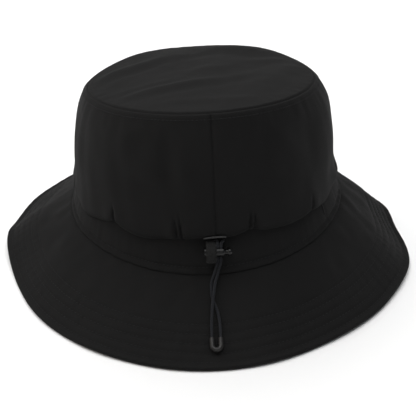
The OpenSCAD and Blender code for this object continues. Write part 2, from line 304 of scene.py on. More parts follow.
# %% [markdown]
# ## Effects that several finishes share
# Woven cloth is threads that pass over and under each other. Two sine waves across the UV map make
# the threads, and the sign of their product says which one lies on top. Black cloth is never one
# black either: it fades a little, takes lint and shows wear, so a second group drifts the tone
# slowly over the hat. Both are node groups with their own inputs, placed in each material.

# %% Node group helpers


def new_group(name, inputs, outputs):
    """Empty shader node group. inputs are (name, default), outputs are names of floats."""
    group = bpy.data.node_groups.new(name, "ShaderNodeTree")
    for label, value in inputs:
        kind = "NodeSocketVector" if value is None else "NodeSocketFloat"
        socket = group.interface.new_socket(label, in_out="INPUT", socket_type=kind)
        if value is not None:
            socket.default_value = value
    for label in outputs:
        group.interface.new_socket(label, in_out="OUTPUT", socket_type="NodeSocketFloat")
    start = group.nodes.new("NodeGroupInput")
    end = group.nodes.new("NodeGroupOutput")
    return group, start, end


def math_node(tree, operation, a, b=0.0):
    """One Math node. a and b are sockets or numbers."""
    node = tree.nodes.new("ShaderNodeMath")
    node.operation = operation
    for socket, value in zip(node.inputs, (a, b)):
        if isinstance(value, (int, float)):
            socket.default_value = value
        else:
            tree.links.new(value, socket)
    return node.outputs[0]


def noise_node(tree, vector, scale, detail=3.0, roughness=0.55):
    """One Noise Texture, whose Fac runs from 0 to 1."""
    node = tree.nodes.new("ShaderNodeTexNoise")
    node.inputs["Detail"].default_value = detail
    node.inputs["Roughness"].default_value = roughness
    if isinstance(scale, (int, float)):
        node.inputs["Scale"].default_value = scale
    else:
        tree.links.new(scale, node.inputs["Scale"])
    tree.links.new(vector, node.inputs["Vector"])
    return node.outputs["Fac"]


# %% Weave and wear groups


def weave_group():
    """Plain weave: |sin| of the warp where sin*sin is positive, |sin| of the weft elsewhere."""
    group, start, end = new_group("Plain_weave", [("Vector", None), ("Threads per metre", 1600.0),
                                                  ("Slub", 0.25)], ["Height", "Thread"])
    split = group.nodes.new("ShaderNodeSeparateXYZ")
    group.links.new(start.outputs["Vector"], split.inputs[0])
    turns = math_node(group, "MULTIPLY", start.outputs["Threads per metre"], math.pi)
    slub = noise_node(group, start.outputs["Vector"], 260.0, 2.0)
    slub = math_node(group, "MULTIPLY", slub, 3.0)
    across = math_node(group, "MULTIPLY", split.outputs[0], turns)
    along = math_node(group, "MULTIPLY", split.outputs[1], turns)
    warp = math_node(group, "SINE", math_node(group, "ADD", across, slub))
    weft = math_node(group, "SINE", math_node(group, "ADD", along, slub))
    over = math_node(group, "GREATER_THAN", math_node(group, "MULTIPLY", warp, weft), 0.0)
    under = math_node(group, "SUBTRACT", 1.0, over)
    height = math_node(group, "ADD",
                       math_node(group, "MULTIPLY", math_node(group, "ABSOLUTE", warp), over),
                       math_node(group, "MULTIPLY", math_node(group, "ABSOLUTE", weft), under))
    fuzz = noise_node(group, start.outputs["Vector"], 2600.0, 2.0)
    fuzz = math_node(group, "MULTIPLY", fuzz, start.outputs["Slub"])
    group.links.new(math_node(group, "ADD", height, fuzz), end.inputs["Height"])
    group.links.new(over, end.inputs["Thread"])
    return group


def wear_group():
    """Slow drift of tone, and small pale lint where a fine noise peaks."""
    group, start, end = new_group("Cloth_wear", [("Vector", None), ("Patch", 14.0),
                                                 ("Lint", 900.0)], ["Tone", "Lint"])
    slow = noise_node(group, start.outputs["Vector"], start.outputs["Patch"], 4.0)
    fine = noise_node(group, start.outputs["Vector"], 160.0, 3.0)
    tone = math_node(group, "ADD", math_node(group, "MULTIPLY", slow, 0.7),
                     math_node(group, "MULTIPLY", fine, 0.3))
    specks = noise_node(group, start.outputs["Vector"], start.outputs["Lint"], 1.0)
    specks = math_node(group, "MULTIPLY", math_node(group, "SUBTRACT", specks, 0.74), 9.0)
    specks = math_node(group, "MINIMUM", math_node(group, "MAXIMUM", specks, 0.0), 1.0)
    group.links.new(tone, end.inputs["Tone"])
    group.links.new(specks, end.inputs["Lint"])
    return group


WEAVE = weave_group()
WEAR = wear_group()
print("node groups:", [g.name for g in bpy.data.node_groups])

# %% [markdown]
# ## The finishes
# A cloth material reads its weave from the UV map in metres and its wear from Object coordinates.
# Sheen stands for the short fibres that catch light at a grazing angle, which is what makes matte
# black fabric look soft. Cord is a braid, so its map winds two sets of diagonals round it. Moulded
# plastic has a fine grain and small changes of gloss.

# %% Cloth


def base_material(name, roughness, sheen=0.0, specular=0.1):
    """Material with a Principled shader and plain values on its own sockets."""
    material = bpy.data.materials.new(name)
    material.use_nodes = True
    shader = material.node_tree.nodes["Principled BSDF"]
    shader.inputs["Roughness"].default_value = roughness
    shader.inputs["Sheen Weight"].default_value = sheen
    shader.inputs["Sheen Roughness"].default_value = 0.45
    shader.inputs["Specular IOR Level"].default_value = specular
    return material, material.node_tree, shader


def use_group(tree, group, vector, settings=()):
    """Places a shared group, feeds its Vector, sets some of its inputs and gives its outputs."""
    node = tree.nodes.new("ShaderNodeGroup")
    node.node_tree = group
    tree.links.new(vector, node.inputs["Vector"])
    for label, value in settings:
        node.inputs[label].default_value = value
    return node.outputs


def scaled(colour, share):
    """A colour made darker or lighter."""
    return tuple(share * c for c in colour)


def mix_colour(tree, factor, low, high):
    """Mix of two colours by a float socket."""
    node = tree.nodes.new("ShaderNodeMix")
    node.data_type = "RGBA"
    tree.links.new(factor, node.inputs["Factor"])
    for socket, value in ((node.inputs[6], low), (node.inputs[7], high)):
        if isinstance(value, tuple):
            socket.default_value = value + (1.0,)
        else:
            tree.links.new(value, socket)
    return node.outputs[2]


def bump_normal(tree, shader, height, distance, strength=1.0, under=None):
    """Bump node that feeds Normal. distance is the height in metres of a full step."""
    bump = tree.nodes.new("ShaderNodeBump")
    bump.inputs["Distance"].default_value = distance
    bump.inputs["Strength"].default_value = strength
    tree.links.new(height, bump.inputs["Height"])
    if under is not None:
        tree.links.new(under, bump.inputs["Normal"])
    tree.links.new(bump.outputs[0], shader.inputs["Normal"])
    return bump.outputs[0]


def cloth_material(name, colour, threads=1500.0, roughness=0.82, sheen=0.04, crease=0.00025,
                   thread_height=0.00006, lint=0.35):
    """Woven cloth: tone from wear, painted shade between the weave's threads, lint specks, and a
    thread bump over a soft crease bump.
    """
    material, tree, shader = base_material(name, roughness, sheen)
    place = tree.nodes.new("ShaderNodeTexCoord")
    wear = use_group(tree, WEAR, place.outputs["Object"])
    weave = use_group(tree, WEAVE, place.outputs["UV"], [("Threads per metre", threads)])
    tone = mix_colour(tree, wear["Tone"], scaled(colour, 0.45), scaled(colour, 1.55))
    # Painted shade: the cloth is darker between the threads and lighter on their crowns, by the
    # weave's height.
    painted_thread_shade = math_node(tree, "MULTIPLY", weave["Height"], 0.35)
    tone = mix_colour(tree, painted_thread_shade, tone, scaled(colour, 1.7))
    specks = math_node(tree, "MULTIPLY", wear["Lint"], lint)
    tone = mix_colour(tree, specks, tone, (0.16, 0.16, 0.16))
    tree.links.new(tone, shader.inputs["Base Color"])
    rough = math_node(tree, "ADD", math_node(tree, "MULTIPLY", wear["Tone"], 0.16),
                      roughness - 0.08)
    tree.links.new(rough, shader.inputs["Roughness"])
    soft = noise_node(tree, place.outputs["Object"], 120.0, 4.0, 0.6)
    under = bump_normal(tree, shader, soft, crease, 0.7)
    bump_normal(tree, shader, weave["Height"], thread_height, 0.8, under)
    return material


SHELL = cloth_material("Shell_cloth", (0.0076, 0.0075, 0.0075), sheen=0.015, lint=0.15)
LINING = cloth_material("Lining_cloth", (0.012, 0.012, 0.013), threads=2600.0, roughness=0.6,
                        sheen=0.04, thread_height=0.00003, lint=0.1)
SWEATBAND = cloth_material("Sweatband_cloth", (0.012, 0.012, 0.0125), threads=900.0, lint=0.2,
                           thread_height=0.00012)
STIFFENER = cloth_material("Stiffening_cloth", (0.05, 0.05, 0.05), threads=1100.0, lint=0.0,
                           sheen=0.05)
LABEL = cloth_material("Label_satin", (0.6, 0.6, 0.58), threads=3000.0, roughness=0.5, lint=0.0,
                       sheen=0.05, crease=0.0001)

# %% Cord, webbing, thread and plastic


def map_axes(tree, u_turn, v_turn):
    """Texture coordinates, and the two axes of the UV map times a turn per metre each."""
    place = tree.nodes.new("ShaderNodeTexCoord")
    split = tree.nodes.new("ShaderNodeSeparateXYZ")
    tree.links.new(place.outputs["UV"], split.inputs[0])
    return (place, math_node(tree, "MULTIPLY", split.outputs[0], u_turn),
            math_node(tree, "MULTIPLY", split.outputs[1], v_turn))


def braid_material(name, colour, pitch, height, roughness=0.6, sheen=0.05):
    """Braid: the higher of two sets of diagonal waves over the UV map, sin(u+v) and sin(u-v)."""
    material, tree, shader = base_material(name, roughness, sheen)
    place, u, v = map_axes(tree, 2 * math.pi / MM, 2 * math.pi / pitch)
    left = math_node(tree, "SINE", math_node(tree, "ADD", u, v))
    right = math_node(tree, "SINE", math_node(tree, "SUBTRACT", u, v))
    strands = math_node(tree, "MAXIMUM", left, right)
    share = math_node(tree, "ADD", math_node(tree, "MULTIPLY", strands, 0.5), 0.5)
    wear = use_group(tree, WEAR, place.outputs["Object"])
    # Painted shade: the braid is darker in the grooves between its strands and lighter on their
    # crowns.
    tone = mix_colour(tree, share, scaled(colour, 0.45), scaled(colour, 1.25))
    tone = mix_colour(tree, math_node(tree, "MULTIPLY", wear["Tone"], 0.5), tone,
                      scaled(colour, 0.8))
    tree.links.new(tone, shader.inputs["Base Color"])
    bump_normal(tree, shader, strands, height)
    return material


def ribbed_material(name, colour, rib, height, roughness=0.65, sheen=0.05):
    """Webbing or thread: ribs |sin(v)| crossed by a slanting twist sin(u + v / 2)."""
    material, tree, shader = base_material(name, roughness, sheen)
    place, u, v = map_axes(tree, 1.7 * math.pi / rib, math.pi / rib)
    ribs = math_node(tree, "ABSOLUTE", math_node(tree, "SINE", v))
    twist = math_node(tree, "SINE", math_node(tree, "ADD", u, math_node(tree, "MULTIPLY", v, 0.5)))
    relief = math_node(tree, "ADD", ribs, math_node(tree, "MULTIPLY", twist, 0.45))
    share = math_node(tree, "ADD", math_node(tree, "MULTIPLY", relief, 0.4), 0.2)
    # Painted shade: the webbing and thread are darker in the valleys between ribs and lighter on
    # their crowns.
    tone = mix_colour(tree, share, scaled(colour, 0.5), scaled(colour, 1.6))
    wear = use_group(tree, WEAR, place.outputs["Object"])
    tone = mix_colour(tree, math_node(tree, "MULTIPLY", wear["Tone"], 0.4), tone, colour)
    tree.links.new(tone, shader.inputs["Base Color"])
    bump_normal(tree, shader, relief, height)
    return material


def plastic_material(name, colour, roughness, grain=0.00002, metallic=0.0):
    """Moulded plastic or wire: fine grain, drifting gloss and slightly paler rubbed patches."""
    material, tree, shader = base_material(name, roughness, specular=0.3)
    shader.inputs["Metallic"].default_value = metallic
    place = tree.nodes.new("ShaderNodeTexCoord")
    wear = use_group(tree, WEAR, place.outputs["Object"], [("Patch", 180.0)])
    tone = mix_colour(tree, wear["Tone"], scaled(colour, 0.7), scaled(colour, 1.4))
    tree.links.new(tone, shader.inputs["Base Color"])
    gloss = math_node(tree, "MULTIPLY", wear["Tone"], 0.25)
    tree.links.new(math_node(tree, "ADD", gloss, roughness - 0.12), shader.inputs["Roughness"])
    fine = noise_node(tree, place.outputs["Object"], 2400.0, 3.0)
    bump_normal(tree, shader, fine, grain)
    return material


CORD = braid_material("Elastic_braid", (0.016, 0.017, 0.02), 1.5 * MM, 0.00012)
WEBBING = ribbed_material("Lock_webbing", (0.014, 0.014, 0.014), 1.0 * MM, 0.00016)
THREAD = ribbed_material("Sewing_thread", (0.0155, 0.0155, 0.016), 0.5 * MM, 0.00004)
PLASTIC = plastic_material("Lock_plastic", (0.003, 0.003, 0.0031), 0.27)
PALE_PLASTIC = plastic_material("Cord_end_plastic", (0.016, 0.015, 0.0145), 0.36)
# The bar is a real part, but its pale grey colour is a painted highlight along its edge.
BAR_PAINTED_HIGHLIGHT = plastic_material("Bar_plastic_painted_highlight", (0.026, 0.026, 0.026), 0.42)
STEEL = plastic_material("Spring_wire", (0.55, 0.55, 0.56), 0.3, metallic=1.0)

# %% [markdown]
# ## The elastic cord
# One elastic cord, 1.9 mm thick, runs round the hat in a channel behind the band. Both ends come
# out under the hem, drop through the lock and hang as a two-strand tail to a moulded end. The
# tail is limp, so it lies down the slope of the brim, and one strand hops over the other. The
# routes are a few points each, smoothed by the spline, and the strand is cut into the part that
# stays with the hat, a stub that bends under the lock, and the tail.

# %% Routes
CORD_R = 0.95
LOCK_Y = -102.2
FRONT_ROUTE = [[6.4, -93.6, 58.3], [4.8, -97.5, 59], [4, -101.2, 58.8], [3.9, LOCK_Y, 57.4],
               [3.9, LOCK_Y, 54.4], [3.9, LOCK_Y, 50.8], [3.9, LOCK_Y, 48.8],
               [3.6, -102.5, 46.4], [3, -103.1, 43.8], [2, -104.7, 40.4], [0.6, -107.8, 37.6],
               [-0.3, -110.4, 35.9], [-0.9, -113, 34.1], [-1.5, -116, 32], [-2.2, -119, 29.2],
               [-3, -124.3, 24.4], [-3.6, -129.5, 19.9], [-3.8, -134.3, 16.4],
               [-3.9, -139.35, 12.8]]
REAR_ROUTE = [[0, -92.7, 58.3], [1.7, -96.2, 58.9], [1.8, -101, 58.8], [1.8, LOCK_Y, 57.4],
              [1.8, LOCK_Y, 54.4], [1.8, LOCK_Y, 50.8], [1.8, LOCK_Y, 48.8], [1.6, -102.4, 46.4],
              [0.95, -102.9, 43.8], [-0.2, -104.5, 40.4], [-1.6, -106.4, 37.2],
              [-2.6, -109, 34.2], [-2.7, -112, 31.9], [-2.5, -115, 29.7], [-1.5, -118.5, 27.1],
              [0, -122, 24.6], [1.1, -126.2, 21.6], [1.6, -131.4, 18.2], [1.6, -139.35, 12.8]]
STUB_TOP = 50.8
STUB_END = 41.0


def cut_route(points):
    """Smooth route, cut where it leaves the lock and where the stub ends. The route only counts
    as past the lock's mouth once it has come as far back as the lock."""
    route = spline(points, 240)
    past_lock = (route[:, 1] < LOCK_Y + 0.6) | (np.arange(len(route)) > 120)
    top = int(np.argmax(past_lock & (route[:, 2] < STUB_TOP)))
    end = int(np.argmax(past_lock & (route[:, 2] < STUB_END)))
    return route[:top + 1], route[top:end + 1], route[end:]


def length_of(route):
    """Length of a route in metres."""
    return float(np.linalg.norm(np.diff(route, axis=0), axis=1).sum()) * MM


front_held, front_stub, front_tail = cut_route(FRONT_ROUTE)
rear_held, rear_stub, rear_tail = cut_route(REAR_ROUTE)
print("tail strands:", round(length_of(front_tail), 4), round(length_of(rear_tail), 4))
print("stubs:", round(length_of(front_stub), 4), round(length_of(rear_stub), 4))


def make_strand(side, stub_side, stub_route, tail_route):
    """A stub that bends from the hat to the tail, and the tail strand."""
    stub = tube("Cord_stub_" + stub_side, stub_route, CORD_R)
    finish_piece(stub, CORD, "elastic_cord", "cord_stub_" + stub_side, body=None)
    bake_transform(stub)
    strand = tube("Cord_tail_" + side, tail_route, CORD_R)
    finish_piece(strand, CORD, "elastic_cord", "cord_tail_" + side, body=None)
    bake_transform(strand)


make_strand("left", "right", front_stub, front_tail)
make_strand("right", "left", rear_stub, rear_tail)

# %% [markdown]
# ## The shape that every fabric piece shares
# All pieces lie on ovals round the head. A station holds an oval's half width, half length,
# height, and how much higher it runs at the sides. The crown leans a little to one side and its
# top panel rises towards the back, so one function leans every point the same way and no two
# pieces part. Angles count from the back, towards the right side.

# %% Ovals
TIP_A, TIP_B, TIP_Z, TIP_DROP = 77.5, 87.0, 132.6, 2.0
WALL_A, WALL_B, HEM_Z, HEM_DROP = 92.5, 96.7, 60.3, 3.5
# How the top seam departs from its oval: angle, millimetres outwards and spread in degrees.
TIP_OUTLINE = [(-118, -1.8, 22), (-151, 2.4, 16), (112, -1.2, 20), (147, 4.0, 18), (180, -1.0, 12)]
SEAM_A, SEAM_B, SEAM_Z, SEAM_RISE = 95.0, 101.2, 38.4, 4.7
BRIM_A, BRIM_B, BRIM_RISE = 144.0, 152.0, 0.6
BAND_Z = 66.5
LEAN = math.tan(math.radians(2.3))
PITCH = math.tan(math.radians(8.0))
BASE_Z = 38.0


def lean(p):
    """Leans points: x moves by -LEAN per mm above the seam, z tilts with x, and the top panel
    rises towards the back by PITCH."""
    x, y, z = p[..., 0], p[..., 1], p[..., 2]
    high = np.clip((z - BAND_Z) / (TIP_Z - BAND_Z), 0, 1)
    return np.stack([x - LEAN * np.maximum(0, z - BASE_Z), y,
                     z + LEAN * x * np.clip(z / BASE_Z, 0, 1) - PITCH * y * high], -1)


def side_share(u):
    """0 at the back and the front, 1 at the sides: sin(u)^2."""
    return np.sin(u) ** 2


def outward(u):
    """Level unit vector away from the head at angle u."""
    return np.stack([np.sin(u), -np.cos(u), np.zeros_like(u)], -1)


def oval(station, u):
    """Points of a station's oval at angles u, before leaning. station is [..., 4]."""
    a, b, z, rise = (station[..., k] for k in range(4))
    return np.stack([a * np.sin(u), -b * np.cos(u), z + rise * side_share(u)], -1)


def wrapped(u, centre):
    """Signed angle from centre to u in degrees, from -180 to 180."""
    return (np.degrees(u) - centre + 180) % 360 - 180


def tip_outline(u):
    """Millimetres by which the top seam lies outside its oval at angle u."""
    return sum(h * bump_at(wrapped(u, c), 0, w) for c, h, w in TIP_OUTLINE)


def at_profile(curve, places, x):
    """Stations of a profile curve at x, where places are the curve's own values of x."""
    return np.stack([np.interp(x, places, curve[:, k]) for k in range(4)], -1)


def fine_near(edges, ends, spacing, fine):
    """Places from ends[0] to ends[1]: spacing apart, and fine apart near each place in edges."""
    x = np.linspace(ends[0], ends[1], 4000)
    density = np.full_like(x, 1.0 / spacing)
    for place, reach in edges:
        density = np.maximum(density, (1.0 / fine) * bump_at(x, place, reach))
    total = np.concatenate([[0], np.cumsum((density[1:] + density[:-1]) / 2 * np.diff(x))])
    return np.interp(np.linspace(0, total[-1], int(total[-1]) + 2), total, x)


# The seam at the back lies a little to the right of the middle.
BACK_SEAM = 1.3
SEAM_GAP = 0.0001
SIDES = {"right": (math.radians(BACK_SEAM) + SEAM_GAP, math.pi - SEAM_GAP),
         "left": (-math.pi + SEAM_GAP, math.radians(BACK_SEAM) - SEAM_GAP)}
# Millimetres of cloth for one degree round the hat, at each height.
TIP_ARC, LINING_ARC, WALL_ARC, BAND_ARC, BRIM_ARC = 1.45, 1.55, 1.62, 1.66, 2.3
print("opening round the seam, mm:", round(math.pi * (SEAM_A + SEAM_B - 2.4)))

# %% [markdown]
# ## Side wall of the crown
# Two panels meet at the centre back and front. The cord gathers their hem, so the cloth bellies
# out above it, short tucks run up from it, and the hem droops between the tucks and turns under.
# Cloth simulation could find such folds, but their places are known here, so each tuck is a
# narrow valley of bell curves with a swelling on both sides, and slow ripples give the hand of
# thin cloth.

# %% Wall surface
WALL_STATIONS = np.array([
    [TIP_A - 1.2, TIP_B - 1.2, TIP_Z - 1.6, -TIP_DROP],
    [TIP_A - 0.1, TIP_B - 0.1, TIP_Z - 0.9, -TIP_DROP],
    [TIP_A + 1.0, TIP_B + 0.9, TIP_Z - 1.6, -TIP_DROP],
    [TIP_A + 3.6, TIP_B + 2.8, TIP_Z - 5, -2.2],
    [TIP_A + 7.8, TIP_B + 5.4, TIP_Z - 13, -2.8],
    [TIP_A + 11.0, TIP_B + 6.8, TIP_Z - 27, -3.6],
    [TIP_A + 12.6, TIP_B + 7.6, TIP_Z - 45, -4],
    [WALL_A - 2.2, WALL_B, HEM_Z + 16, -4],
    [WALL_A - 0.8, WALL_B + 1.2, HEM_Z + 7, -HEM_DROP],
    [WALL_A - 0.6, WALL_B + 0.9, HEM_Z + 2.4, -HEM_DROP],
    [WALL_A - 1.2, WALL_B - 0.1, HEM_Z + 0.3, -HEM_DROP],
    [WALL_A - 2.3, WALL_B - 1.4, HEM_Z + 0.2, -HEM_DROP],
    [WALL_A - 3.2, WALL_B - 2.4, HEM_Z + 1.8, -HEM_DROP]])
WALL_CURVE = spline(WALL_STATIONS, 700)
WALL_LENGTH = np.concatenate([[0], np.cumsum(np.linalg.norm(
    np.diff(WALL_CURVE[:, [0, 2]], axis=0), axis=1))])
WALL_FOLD = WALL_LENGTH[np.argmin(WALL_CURVE[:, 2])]
# Tucks: angle in degrees, depth and length in millimetres, and whether the tuck is a double one.
TUCKS = [(-160, 1.8, 16, 0), (-128, 2.2, 20, 1), (-105, 1.8, 16, 0), (-80, 2.0, 16, 0),
         (-42.5, 2.4, 18, 0), (-13, 2.2, 20, 1), (16, 2.3, 19, 1), (46, 1.4, 16, 0),
         (78, 2.0, 18, 0), (107, 2.2, 20, 1), (139, 1.8, 16, 0), (168, 2.0, 18, 0)]
# How the hem rises (+) or droops (-): angle, height and spread in degrees.
HEM_WAVES = [(-160, 2.5, 6), (-128, 3, 6), (-105, 2.5, 6), (-82, -1.5, 8), (-63, -3.2, 6),
             (-43, 4.2, 5), (-28, -1.6, 6), (-3, 1.8, 7), (16, 3.4, 5), (33, -0.8, 6),
             (46, 1.6, 4.5), (61, -2.6, 7), (78, 1.5, 6), (107, 3, 6), (139, 2.5, 6),
             (168, 2.5, 6)]
HEM_RADIUS = 93.0


# Folds of the wall: millimetres round from the back, height above the hem, slant, length, width
# and height.
WALL_FOLDS = [(-27, 48, 100, 24, 7, -1.0), (-13, 34, 130, 14, 6, 0.9), (28, 43, -6, 22, 6, 1.2),
              (-42, 40, 5, 14, 6, 1.0), (52, 56, -30, 20, 7, 0.8), (-58, 60, 60, 20, 7, 0.8)]


def soft_folds(folds, x, y):
    """Soft ridges: each is a long bell curve about a slanting line (x, y, slant, length, width,
    height), with a shallow valley on its lower side."""
    relief = np.zeros(np.broadcast(x, y).shape)
    for cx, cy, slant, length, width, height in folds:
        a = math.radians(slant)
        along = (x - cx) * math.cos(a) + (y - cy) * math.sin(a)
        across = -(x - cx) * math.sin(a) + (y - cy) * math.cos(a)
        across = across + 4.0 * np.sin(along / 22)
        relief += height * bump_at(along, 0, length) * (
            bump_at(across, 0, width) - 0.6 * bump_at(across, -1.5 * width, width))
    return relief


def wall_relief(d, u):
    """Outward relief in mm at distance d down the wall: tucks with a swelling on both sides, slow
    ripples, folds, the belly above the hem, a fuller right side and puckers at the top seam."""
    up = WALL_FOLD - d
    relief = np.zeros(np.broadcast(d, u).shape)
    for centre, depth, length, double in TUCKS:
        around = np.radians(wrapped(u, centre)) * HEM_RADIUS
        around = around - 0.12 * up * np.sign(centre)
        fade = smooth(up, length, 0.3 * length) * (0.35 + 0.65 * smooth(up, 0, 5))
        for shift in ([-1.7, 1.7] if double else [0.0]):
            relief -= depth * fade * bump_at(around, shift, 0.85)
        relief += 0.4 * depth * fade * (bump_at(around, -5, 4) + bump_at(around, 5, 4))
    x = np.degrees(u) * WALL_ARC
    relief += 0.9 * smooth(d, 3, 22) * ripples(x, 0.6 * d, 50, 3)
    relief += 0.22 * smooth(d, 5, 20) * ripples(x, 0.45 * d, 17, 8)
    relief += soft_folds(WALL_FOLDS, x, up) * smooth(d, 5, 20)
    relief += 0.9 * smooth(up, 34, 6) * smooth(up, -1, 5)
    relief += 1.0 * np.clip(np.sin(u), 0, 1) ** 2 * bump_at(up, 36, 24)
    relief += 0.16 * bump_at(d, 9, 7) * ripples(x, 0.2 * d, 9, 5)
    return relief


def hem_lift(d, u):
    """Rise of the wall in mm near its hem, from the cloth that is gathered above it."""
    lift = sum(h * bump_at(wrapped(u, c), 0, w) for c, h, w in HEM_WAVES)
    return lift * smooth(WALL_FOLD - d, 24, 1)


def wall_surface(d, u):
    """Point of the wall at distance d down its profile and angle u: the leaned oval, plus relief
    outwards, plus the hem's lift, less the valley of the two seams."""
    station = at_profile(WALL_CURVE, WALL_LENGTH, d)
    seam = sum(bump_at(wrapped(u, c) * WALL_ARC, 0, 1.0) for c in (BACK_SEAM, 180))
    relief = wall_relief(d, u) * smooth(WALL_FOLD - d, -4, 2)
    relief = relief - 0.9 * seam * smooth(d, 1, 4) + tip_outline(u) * smooth(d, 48, 0)
    p = oval(station, u) + outward(u) * relief[..., None]
    p[..., 2] += hem_lift(d, u)
    return lean(p)


# %% Wall panels
for side, ends in SIDES.items():
    rows = fine_near([(2, 3), (WALL_FOLD, 6)], (0, WALL_LENGTH[-1]), 1.8, 0.55)
    seams = [(math.radians(c), 0.05) for c, _, _, _ in TUCKS] + [(e, 0.03) for e in ends]
    columns = fine_near(seams, ends, 0.017, 0.0075)
    panel = cloth("Crown_side_" + side, on_grid(wall_surface, rows, columns), 0.9)
    finish_piece(panel, SHELL, "shell_fabric", "crown_side_" + side)

# %% [markdown]
# ## Top panel of the crown
# The oval top panel is cut a little larger than its seam, so it is never flat: it domes, and soft
# folds slant across it. It is a polar grid with fine rings at the seam, where the cloth turns down
# into the seam, and its rings close on one point in the middle.

# %% Tip surface
TIP_FOLDS = [(-53, 19, 50, 40, 6.5, 1.9), (-17, -34, 27, 44, 6.0, 1.7), (-44, -30, 34, 26, 5, 0.7),
             (36, 62, 4, 36, 11, 2.2), (12, 6, 30, 34, 8, 0.9), (58, -4, 70, 38, 10, 1.3),
             (-4, -66, 10, 34, 6, 0.8), (-14, 44, 42, 26, 6, 0.9), (40, 24, 24, 26, 6, 0.7)]


def top_point(share, u, inset, drop):
    """Point of an oval panel, a share of the way from the seam to the middle. The panel is set in
    by inset and lowered by drop, and its oval levels out towards the middle."""
    a, b = (np.maximum(half * (1 - share) - inset, 0) for half in (TIP_A, TIP_B))
    p = oval(np.stack([a, b, np.full_like(a, TIP_Z - drop), np.full_like(a, -TIP_DROP)], -1), u)
    p = p + outward(u) * (tip_outline(u) * (1 - share) ** 2)[..., None]
    p[..., 2] += TIP_DROP * (side_share(u) - 0.5) * share
    return p


def tip_surface(inset, u):
    """Point of the top panel at a distance inset from its seam. Its height is a rounded edge of
    1.5 mm, a dome, the folds, slow ripples, and puckers along the seam."""
    share = np.clip(inset / TIP_A, 0, 1)
    edge = -1.5 * (1 - smooth(inset, 0, 2.4)) ** 2
    dome = 4.6 * (1 - (1 - share) ** 2.4)
    p = top_point(share, u, 0.2, 0.0)
    x, y = p[..., 0], p[..., 1]
    relief = soft_folds(TIP_FOLDS, x, y) + 0.4 * ripples(x, y, 42, 12) + 0.1 * ripples(x, y, 13, 4)
    p[..., 2] += edge + dome + relief * smooth(inset, 2, 16)
    pucker = ripples(np.degrees(u) * TIP_ARC, inset * 0.15, 7, 21)
    p[..., 2] += 0.13 * pucker * bump_at(inset, 4.5, 3.5)
    return lean(p)


def polar_cloth(name, surface, insets, columns, thickness):
    """Closed cap of cloth on a polar grid: rings from the rim inwards, and a centre point."""
    grid = on_grid(surface, insets, columns)
    inner = grid + grid_normals(grid, True) * thickness
    rows, cols = grid.shape[:2]
    n = rows * cols
    top, bottom = grid[-1].mean(0), inner[-1].mean(0)
    j = np.arange(cols)
    k = (j + 1) % cols
    last = (rows - 1) * cols
    faces = [grid_faces(rows, cols, True)[:, ::-1], grid_faces(rows, cols, True, n),
             np.stack([j, n + j, n + k, k], 1)]
    # The innermost rings close with quads that share the centre, two columns at a time.
    even = np.arange(0, cols, 2)
    a, b, c = last + even, last + even + 1, last + (even + 2) % cols
    centre = 2 * n
    faces.append(np.stack([a, b, c, np.full(len(a), centre)], 1))
    faces.append(np.stack([n + c, n + b, n + a, np.full(len(a), centre + 1)], 1))
    points = np.concatenate([grid.reshape(-1, 3), inner.reshape(-1, 3), [top, bottom]])
    return make_object(name, points, np.concatenate(faces), points[:, :2])


TURN = np.linspace(0, 2 * np.pi, 320, endpoint=False)
tip_rows = fine_near([(1.5, 2.5)], (0, TIP_A - 1.2), 1.9, 0.45)
tip = polar_cloth("Crown_tip", tip_surface, tip_rows, TURN, 0.9)
finish_piece(tip, SHELL, "shell_fabric", "crown_tip")

# %% [markdown]
# ## Band, sweatband and the held cord
# Under the hem a plain strip joins the crown to the brim. Behind it lies the cord's channel, and
# behind that the sweatband, which the head touches. Both are strips between two stations. The
# strip puckers a little at its stitching, and the sweatband has a coarser weave.

# %% Band surface
BAND_TOP = np.array([WALL_A - 4.9, WALL_B - 4.5, BAND_Z, -2.0])
BAND_BOTTOM = np.array([SEAM_A + 0.3, SEAM_B + 0.3, SEAM_Z - 0.7, SEAM_RISE])
SHELL_T = 1.2
CHANNEL = 2.6


def band_surface(t, u, inset=0.0):
    """Point of the strip a share t down from its top, moved in towards the head by inset."""
    t = np.asarray(t, float)
    station = BAND_TOP + (BAND_BOTTOM - BAND_TOP) * t[..., None]
    shift = np.broadcast_to(inset, t.shape)[..., None] * np.array([1, 1, 0, 0])
    p = oval(station - shift, u)
    x = np.degrees(u) * BAND_ARC
    relief = 0.25 * ripples(x, 5 * t, 24, 31) + 0.16 * ripples(x, 2 * t, 6.5, 32) * t
    relief = relief - 0.55 * bump_at(t, 0.86, 0.04) + 0.75 * bump_at(t, 0.97, 0.06)
    quiet = np.clip(1 - 0.6 * np.broadcast_to(inset, t.shape), 0, 1)
    return lean(p + outward(u) * (relief * quiet)[..., None])


for side, ends in SIDES.items():
    rows = fine_near([(0.9, 0.12)], (0, 1), 0.06, 0.013)
    strip = cloth("Band_" + side, on_grid(band_surface, rows, fine_near([], ends, 0.012, 0.01)), 0.9)
    finish_piece(strip, SHELL, "shell_fabric", "band_" + side)

# %% Sweatband and drawcord


def sweatband_surface(t, u):
    """The sweatband follows the band, further in where the cord's channel lies behind it."""
    depth = SHELL_T + CHANNEL - (CHANNEL - 0.2) * smooth(t, 0.5, 1.0)
    p = band_surface(t, u, depth)
    roll = 0.9 * bump_at(t, 0, 0.06)
    return p + outward(u) * roll[..., None]


sweat_rows = fine_near([(0.0, 0.1)], (-0.06, 1.0), 0.05, 0.02)
sweat = cloth("Sweatband", on_grid(sweatband_surface, sweat_rows, TURN), 1.0, wrap=True)
finish_piece(sweat, SWEATBAND, "sweatband_fabric", "sweatband")

ring_angles = np.radians(np.linspace(9, 352, 260))
ring_inset = SHELL_T + 0.3 + CORD_R + 0.05
ring = band_surface(np.full(len(ring_angles), 0.3), ring_angles, ring_inset)
drawcord = tube("Drawcord", np.concatenate([front_held[::-1], ring, rear_held]), CORD_R, 12)
finish_piece(drawcord, CORD, "elastic_cord", "drawcord")

